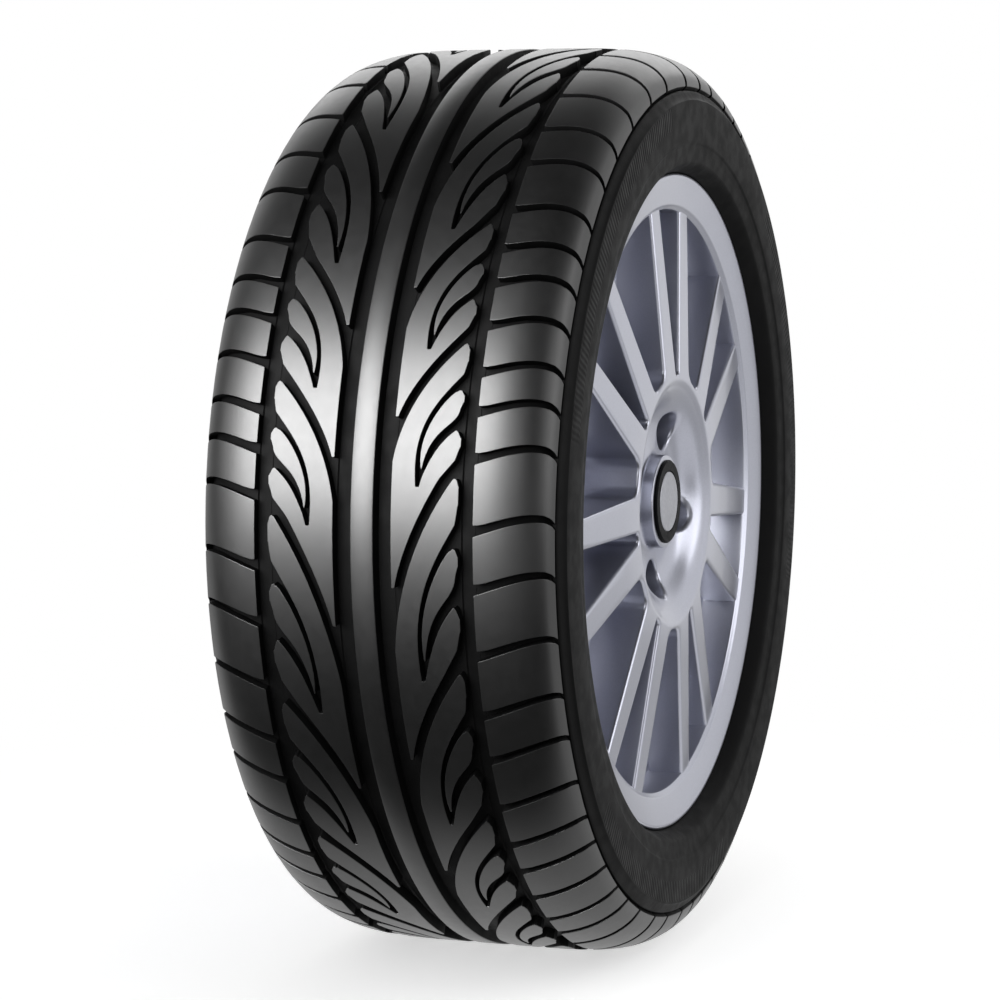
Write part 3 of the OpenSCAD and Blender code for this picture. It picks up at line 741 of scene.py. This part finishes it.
def silver_lacquer(colour):
    """Silver paint with a fine flake under clear lacquer; the barrel's inside is painted paler and less
    metallic, painted light inside the rim.
    """
    made, tree, shader, coords = material("silver_lacquer", 0.3, metallic=0.9, coat=0.2)
    flakes = node(tree, "TexVoronoi", (("Vector", coords), ("Scale", 1500.0))).outputs["Color"]
    sparkle = node(tree, "SeparateXYZ", ((0, flakes),)).outputs[0]
    cloud = noise(tree, coords, 25, 2)
    tone = maths(tree, "ADD", maths(tree, "MULTIPLY", sparkle, 0.6),
                 maths(tree, "MULTIPLY", cloud, 0.4))
    paint = blend_colour(tree, tone, shade(colour, 0.94), shade(colour, 1.06))
    # Painted light: inside the barrel, past 0.11 m from the axis and behind the face, the colour is painted
    # paler and less metallic than on the face, standing in for light falling inside the rim
    inwards = node(tree, "SeparateXYZ", ((0, coords),)).outputs[1]
    painted_light_inside = maths(tree, "MULTIPLY", ramp(tree, from_axis(tree, coords), 0.11, 0.16),
                 ramp(tree, inwards, -0.1, -0.07))
    cloudy(tree, shader, painted_light_inside, paint, shade(colour, 1.35))
    uneven(tree, shader, cloud, 0.29, 0.32)
    tree.links.new(ramp(tree, painted_light_inside, 0, 1, 0.9, 0.3), shader.inputs["Metallic"])
    return made


def gloss_plastic(colour):
    """Black plastic with faint flow marks and fine scuffs."""
    made, tree, shader, coords = material("gloss_black_plastic", 0.4, specular=0.02)
    cloudy(tree, shader, noise(tree, coords, 40, 3), shade(colour, 0.7), shade(colour, 1.4))
    tree.links.new(ramp(tree, noise(tree, coords, 350, 4), 0.4, 0.7, 0.36, 0.46),
                   shader.inputs["Roughness"])
    bump(tree, shader, noise(tree, coords, 120, 2), 0.05, 0.0003)
    return made


def satin_silver(colour):
    """Satin silver disc with fine turned rings."""
    made, tree, shader, coords = material("satin_silver", 0.36, metallic=0.7)
    rings = maths(tree, "SINE", maths(tree, "MULTIPLY", from_axis(tree, coords), 14000.0))
    cloudy(tree, shader, noise(tree, coords, 80, 3), shade(colour, 0.85), shade(colour, 1.1))
    uneven(tree, shader, noise(tree, coords, 400, 3), 0.3, 0.42)
    bump(tree, shader, rings, 0.1, 0.0001)
    return made


def valve_rubber():
    """Matt rubber of the valve's stem."""
    made, tree, shader, coords = material("valve_rubber", 0.6, specular=0.4)
    cloudy(tree, shader, noise(tree, coords, 300, 3), (0.008, 0.008, 0.008), (0.02, 0.02, 0.02))
    bump(tree, shader, noise(tree, coords, 1500, 2), 0.2, 0.0002)
    return made


def turned_brass():
    """Brass of the valve's tube and core."""
    made, tree, shader, coords = material("turned_brass", 0.28, metallic=1.0)
    cloudy(tree, shader, noise(tree, coords, 400, 3), (0.52, 0.37, 0.14), (0.72, 0.55, 0.26))
    uneven(tree, shader, noise(tree, coords, 900, 2), 0.2, 0.38)
    return made


def moulded_plastic():
    """Black plastic of the valve's cap."""
    made, tree, shader, coords = material("moulded_black_plastic", 0.45, specular=0.45)
    cloudy(tree, shader, noise(tree, coords, 500, 3), (0.01, 0.01, 0.011), (0.022, 0.022, 0.023))
    bump(tree, shader, noise(tree, coords, 2500, 2), 0.15, 0.0002)
    return made


# Studio
# How the floor's brightness in reflections changes along X, as (start, end, change)
SHINE_BANDS = ((-2.0, -0.7, -0.98), (-0.32, -0.2, 0.96), (0.15, 0.45, -0.4), (1.3, 2.2, 0.4))


def pale_floor(colour, lift):
    """Pale floor that keeps the shadow near the wheel and runs out to white.

    Reflections see it white far off, dark before the tread, bright under the wheel and paler grey
    behind it.
    """
    made = bpy.data.materials.new("pale_floor")
    made.use_nodes = True
    tree = made.node_tree
    shader = tree.nodes["Principled BSDF"]
    shader.inputs["Base Color"].default_value = (*colour, 1)
    shader.inputs["Roughness"].default_value = 0.9
    shader.inputs["Specular IOR Level"].default_value = 0.1
    coords = node(tree, "TexCoord").outputs["Object"]
    flat = node(tree, "VectorMath", ((0, coords), (1, (1, 1, 0))), operation="MULTIPLY").outputs[0]
    away = node(tree, "VectorMath", ((0, flat),), operation="LENGTH").outputs["Value"]
    path = node(tree, "LightPath").outputs
    raised = maths(tree, "MULTIPLY", path["Is Camera Ray"], lift)
    glow = node(tree, "Emission", (("Strength", raised),))
    near = node(tree, "AddShader", ((0, shader.outputs[0]), (1, glow.outputs[0])))
    white = node(tree, "Emission", (("Strength", 1.0),))
    far = maths(tree, "MULTIPLY", ramp(tree, away, 0.26, 1.0), path["Is Camera Ray"])
    plain = node(tree, "MixShader", ((0, far), (1, near.outputs[0]), (2, white.outputs[0])))
    along = node(tree, "SeparateXYZ", ((0, coords),)).outputs[0]
    shine = 1.0
    for start, end, change in SHINE_BANDS:
        shine = maths(tree, "ADD", shine, ramp(tree, along, start, end, 0.0, change))
    mirrored = node(tree, "Emission", (("Strength", shine),))
    mix = node(tree, "MixShader", ((0, path["Is Glossy Ray"]), (1, plain.outputs[0]),
                                   (2, mirrored.outputs[0])))
    tree.links.new(mix.outputs[0], tree.nodes["Material Output"].inputs[0])
    return made


def studio_world(room_light):
    """White to the camera; reflections see it white behind the wheel, dim overhead and before the tread."""
    world = bpy.data.worlds.new("studio")
    world.use_nodes = True
    tree = world.node_tree
    path = node(tree, "LightPath").outputs
    way = node(tree, "SeparateXYZ", ((0, node(tree, "TexCoord").outputs["Generated"]),)).outputs
    seen = maths(tree, "MAXIMUM", path["Is Glossy Ray"], path["Is Transmission Ray"])
    behind = maths(tree, "MULTIPLY", ramp(tree, way[0], -0.1, 0.5, 0.03, 1.0),
                   ramp(tree, way[2], 0.45, 0.85, 1.0, 0.05))
    mirrored = maths(tree, "MULTIPLY", seen, behind)
    light = maths(tree, "MULTIPLY", maths(tree, "SUBTRACT", 1.0, seen), room_light)
    strength = maths(tree, "MAXIMUM", path["Is Camera Ray"], maths(tree, "ADD", mirrored, light))
    tree.links.new(strength, tree.nodes["Background"].inputs["Strength"])
    tree.nodes["Background"].inputs["Color"].default_value = (1, 1, 1, 1)
    return world


# The photo's camera, in pixels of its square frame, and shares of that frame
FOCAL_PX, FRAME_PX, SENSOR_MM = 3258.149, 1000, 36
SHIFT_X, SHIFT_Y = -0.029005, -0.003018
FLOOR_HALF = 20


def lamp(name, power, size, bearing, height, distance, glossy=True, diffuse=True):
    """A soft lamp aimed at the middle of the wheel; bearing 0 stands before the tread."""
    b, h = math.radians(bearing), math.radians(height)
    data = bpy.data.lights.new(name, "AREA")
    data.shape, data.size, data.size_y, data.energy = "RECTANGLE", size[0], size[1], power
    thing = bpy.data.objects.new(name, data)
    thing.location = Vector((-math.cos(b) * math.cos(h), math.sin(b) * math.cos(h),
                             math.sin(h))) * distance
    thing.rotation_mode = "QUATERNION"
    thing.rotation_quaternion = (-thing.location).to_track_quat("-Z", "Y")
    thing.visible_glossy, thing.visible_diffuse = glossy, diffuse
    bpy.context.scene.collection.objects.link(thing)


def photo_camera(distance, azimuth, elevation):
    """The camera of the photo, aimed at the middle of the wheel."""
    back = Vector((math.sin(azimuth) * math.cos(elevation), -math.cos(azimuth) * math.cos(elevation),
                   math.sin(elevation)))
    data = bpy.data.cameras.new("camera")
    data.sensor_width = SENSOR_MM
    data.lens = FOCAL_PX * SENSOR_MM / FRAME_PX
    data.shift_x, data.shift_y = SHIFT_X, SHIFT_Y
    data.clip_start, data.clip_end = 0.1, 100
    camera = bpy.data.objects.new("camera", data)
    camera.location = back * distance
    camera.rotation_mode = "QUATERNION"
    camera.rotation_quaternion = (-back).to_track_quat("-Z", "Y")
    bpy.context.scene.collection.objects.link(camera)
    return camera


# Sizes and colours a user may change
class TyreSettings(bpy.types.PropertyGroup):
    """The tyre's edges and rubber."""

    edge_round: FloatProperty(
        name="Block edge rounding", description="Rounding along the top edges of the tread blocks",
        default=0.0004, min=0.0001, max=0.001, subtype="DISTANCE", unit="LENGTH")
    tread_colour: FloatVectorProperty(
        name="Tread colour", description="Colour of the tread block tops",
        default=(0.007, 0.007, 0.0072), size=3, subtype="COLOR")
    tread_roughness: FloatProperty(
        name="Tread roughness", description="Roughness of the block tops",
        default=0.38, min=0, max=1, subtype="FACTOR")
    # The groove colour is darker than the tread colour: painted shade in the grooves
    groove_painted_shade_colour: FloatVectorProperty(
        name="Groove colour", description="Colour of groove walls and floors",
        default=(0.005, 0.005, 0.0052), size=3, subtype="COLOR")
    sidewall_colour: FloatVectorProperty(
        name="Sidewall colour", description="Colour of the sidewalls",
        default=(0.006, 0.006, 0.0062), size=3, subtype="COLOR")


class WheelSettings(bpy.types.PropertyGroup):
    """The casting, cap and valve."""

    edge_round: FloatProperty(
        name="Spoke edge rounding", description="Rounding along the front edges of the spokes",
        default=0.0024, min=0.0002, max=0.003, subtype="DISTANCE", unit="LENGTH")
    silver: FloatVectorProperty(
        name="Lacquer colour", description="Colour of the casting's silver lacquer",
        default=(0.43, 0.44, 0.505), size=3, subtype="COLOR")
    cap_black: FloatVectorProperty(
        name="Cap colour", description="Colour of the cap's rim",
        default=(0.006, 0.006, 0.007), size=3, subtype="COLOR")
    disc_silver: FloatVectorProperty(
        name="Disc colour", description="Colour of the disc in the cap",
        default=(0.36, 0.365, 0.4), size=3, subtype="COLOR")


class StudioSettings(bpy.types.PropertyGroup):
    """Floor, lamps and camera."""

    floor_colour: FloatVectorProperty(
        name="Floor colour", description="Colour of the studio floor",
        default=(0.85, 0.85, 0.85), size=3, subtype="COLOR")
    floor_lift: FloatProperty(
        name="Floor lift", description="How much paler the floor shows to the camera",
        default=0.6, min=0, max=1, subtype="FACTOR")
    room_light: FloatProperty(
        name="Room light", description="Brightness of the light from all round",
        default=0.3, min=0, max=2)
    strip_power: FloatProperty(
        name="Strip lamp power", description="Power of the long lamp before the tread",
        default=190, min=0, unit="POWER")
    band_power: FloatProperty(
        name="Band lamp power", description="Power of the wide lamp behind the strip lamp",
        default=60, min=0, unit="POWER")
    back_power: FloatProperty(
        name="Back lamp power", description="Power of the lamp behind the wheel",
        default=18, min=0, unit="POWER")
    edge_power: FloatProperty(
        name="Edge lamp power", description="Power of the narrow lamp before the wheel's face",
        default=22, min=0, unit="POWER")
    tread_power: FloatProperty(
        name="Tread lamp power", description="Power of the soft lamp before the tread",
        default=14, min=0, unit="POWER")
    top_power: FloatProperty(
        name="Top lamp power", description="Power of the soft lamp above",
        default=12, min=0, unit="POWER")
    face_power: FloatProperty(
        name="Face lamp power", description="Power of the soft lamp before the wheel's face",
        default=20, min=0, unit="POWER")
    camera_distance: FloatProperty(
        name="Camera distance", description="Distance of the camera from the axis",
        default=2.378932, min=1, subtype="DISTANCE", unit="LENGTH")
    camera_azimuth: FloatProperty(
        name="Camera azimuth", description="Turn of the camera round the upright axis",
        default=math.radians(-70.7318), subtype="ANGLE", unit="ROTATION")
    camera_elevation: FloatProperty(
        name="Camera elevation", description="Height of the camera over the horizon",
        default=math.radians(5.3282), subtype="ANGLE", unit="ROTATION")


# Operators, one for each group of pieces
class TYRE_OT_tyre(bpy.types.Operator):
    """Make the tyre: carcass, sidewalls and every tread block"""

    bl_idname = "tyre.tyre"
    bl_label = "Tyre"

    def execute(self, context):
        s = context.scene.tyre_settings
        tops, walls = tread_rubber(s.tread_colour, s.tread_roughness), groove_rubber_painted_shade(s.groove_painted_shade_colour)
        side = sidewall_rubber(s.sidewall_colour)

        bm = build_tread(s.edge_round / MM)
        tread = finished("tread_blocks", bm, 35)
        face_crown(tread.data)
        tread.data.materials.append(tops)
        tread.data.materials.append(walls)

        bm = lathe(carcass_outline(), CARCASS_STEPS)
        for f in bm.faces:
            r = f.calc_center_median().xy.length
            f.material_index = 0 if r > TYRE_R - 1 else (1 if r > SIDEWALL_R else 2)
        bmesh.ops.transform(bm, matrix=UPRIGHT, verts=bm.verts)
        carcass = finished("tyre_carcass", bm, 30)
        for m in (tops, walls, side):
            carcass.data.materials.append(m)
        for piece in (tread, carcass):
            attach(piece, "root")
            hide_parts("tyre")
        return {"FINISHED"}


class TYRE_OT_wheel(bpy.types.Operator):
    """Finish the cast wheel"""

    bl_idname = "tyre.wheel"
    bl_label = "Wheel"

    def execute(self, context):
        s = context.scene.wheel_settings
        wheel = finished("cast_wheel", build_wheel(s.edge_round / MM), 32)
        wheel.data.materials.append(silver_lacquer(s.silver))
        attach(wheel, "root")
        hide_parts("wheel")
        return {"FINISHED"}


class TYRE_OT_cap(bpy.types.Operator):
    """Finish the centre cap and its disc"""

    bl_idname = "tyre.cap"
    bl_label = "Centre cap"

    def execute(self, context):
        s = context.scene.wheel_settings
        dress("centre_cap", gloss_plastic(s.cap_black))
        dress("cap_disc", satin_silver(s.disc_silver))
        return {"FINISHED"}


class TYRE_OT_valve(bpy.types.Operator):
    """Finish the valve"""

    bl_idname = "tyre.valve"
    bl_label = "Valve"

    def execute(self, context):
        brass = turned_brass()
        dress("valve_stem", valve_rubber())
        dress("valve_tube", brass)
        dress("valve_core", brass)
        dress("valve_cap", moulded_plastic())
        return {"FINISHED"}


class TYRE_OT_studio(bpy.types.Operator):
    """Lay the pale floor, hang the lamps and set the camera"""

    bl_idname = "tyre.studio"
    bl_label = "Studio"

    def execute(self, context):
        s = context.scene.studio_settings
        scene = context.scene
        scene.view_settings.view_transform = "Standard"

        bm = bmesh.new()
        bmesh.ops.create_grid(bm, x_segments=1, y_segments=1, size=FLOOR_HALF)
        bmesh.ops.translate(bm, vec=(0, 0, CAD_LOW.z), verts=bm.verts)
        floor = finished("floor", bm)
        floor.data.materials.append(pale_floor(s.floor_colour, s.floor_lift))
        scene.world = studio_world(s.room_light)

        lamp("strip_lamp", s.strip_power, (2.0, 1.5), 20, 18.5, 2.5, diffuse=False)
        lamp("band_lamp", s.band_power, (6.5, 1.2), 20, 19, 2.6, diffuse=False)
        lamp("back_lamp", s.back_power, (2.4, 1.3), 165, 37, 2.5, diffuse=False)
        lamp("edge_lamp", s.edge_power, (1.8, 1.6), -88, 15, 2.5, diffuse=False)
        lamp("tread_lamp", s.tread_power, (2.0, 2.0), 20, 35, 2.6, glossy=False)
        lamp("top_lamp", s.top_power, (2.5, 2.5), -60, 80, 2.6, glossy=False)
        lamp("face_lamp", s.face_power, (2.0, 2.0), -100, 30, 2.6, glossy=False)

        scene.camera = photo_camera(s.camera_distance, s.camera_azimuth, s.camera_elevation)
        return {"FINISHED"}


class TYRE_PT_pieces(bpy.types.Panel):
    """Shows the settings of each group of pieces and the buttons that make them"""

    bl_idname = "TYRE_PT_pieces"
    bl_label = "Tyre on its wheel"
    bl_space_type = "VIEW_3D"
    bl_region_type = "UI"
    bl_category = "Tyre"

    def draw(self, context):
        for group, steps in ((context.scene.tyre_settings, ("tyre.tyre",)),
                             (context.scene.wheel_settings, ("tyre.wheel", "tyre.cap", "tyre.valve")),
                             (context.scene.studio_settings, ("tyre.studio",))):
            column = self.layout.column()
            for key in group.__annotations__:
                column.prop(group, key)
            for step in steps:
                column.operator(step)


CLASSES = (TyreSettings, WheelSettings, StudioSettings, TYRE_OT_tyre, TYRE_OT_wheel, TYRE_OT_cap,
           TYRE_OT_valve, TYRE_OT_studio, TYRE_PT_pieces)
GROUPS = (("tyre_settings", TyreSettings), ("wheel_settings", WheelSettings),
          ("studio_settings", StudioSettings))


def register():
    """Registers the classes and hangs the settings on the scene."""
    for c in CLASSES:
        bpy.utils.register_class(c)
    for name, group in GROUPS:
        setattr(bpy.types.Scene, name, PointerProperty(type=group))


def unregister():
    """Takes the settings and the classes out again."""
    for name, _ in GROUPS:
        delattr(bpy.types.Scene, name)
    for c in reversed(CLASSES):
        bpy.utils.unregister_class(c)


def main():
    """Makes the whole scene."""
    register()
    bpy.ops.tyre.tyre()
    bpy.ops.tyre.wheel()
    bpy.ops.tyre.cap()
    bpy.ops.tyre.valve()
    bpy.ops.tyre.studio()


if __name__ == "__main__":
    main()
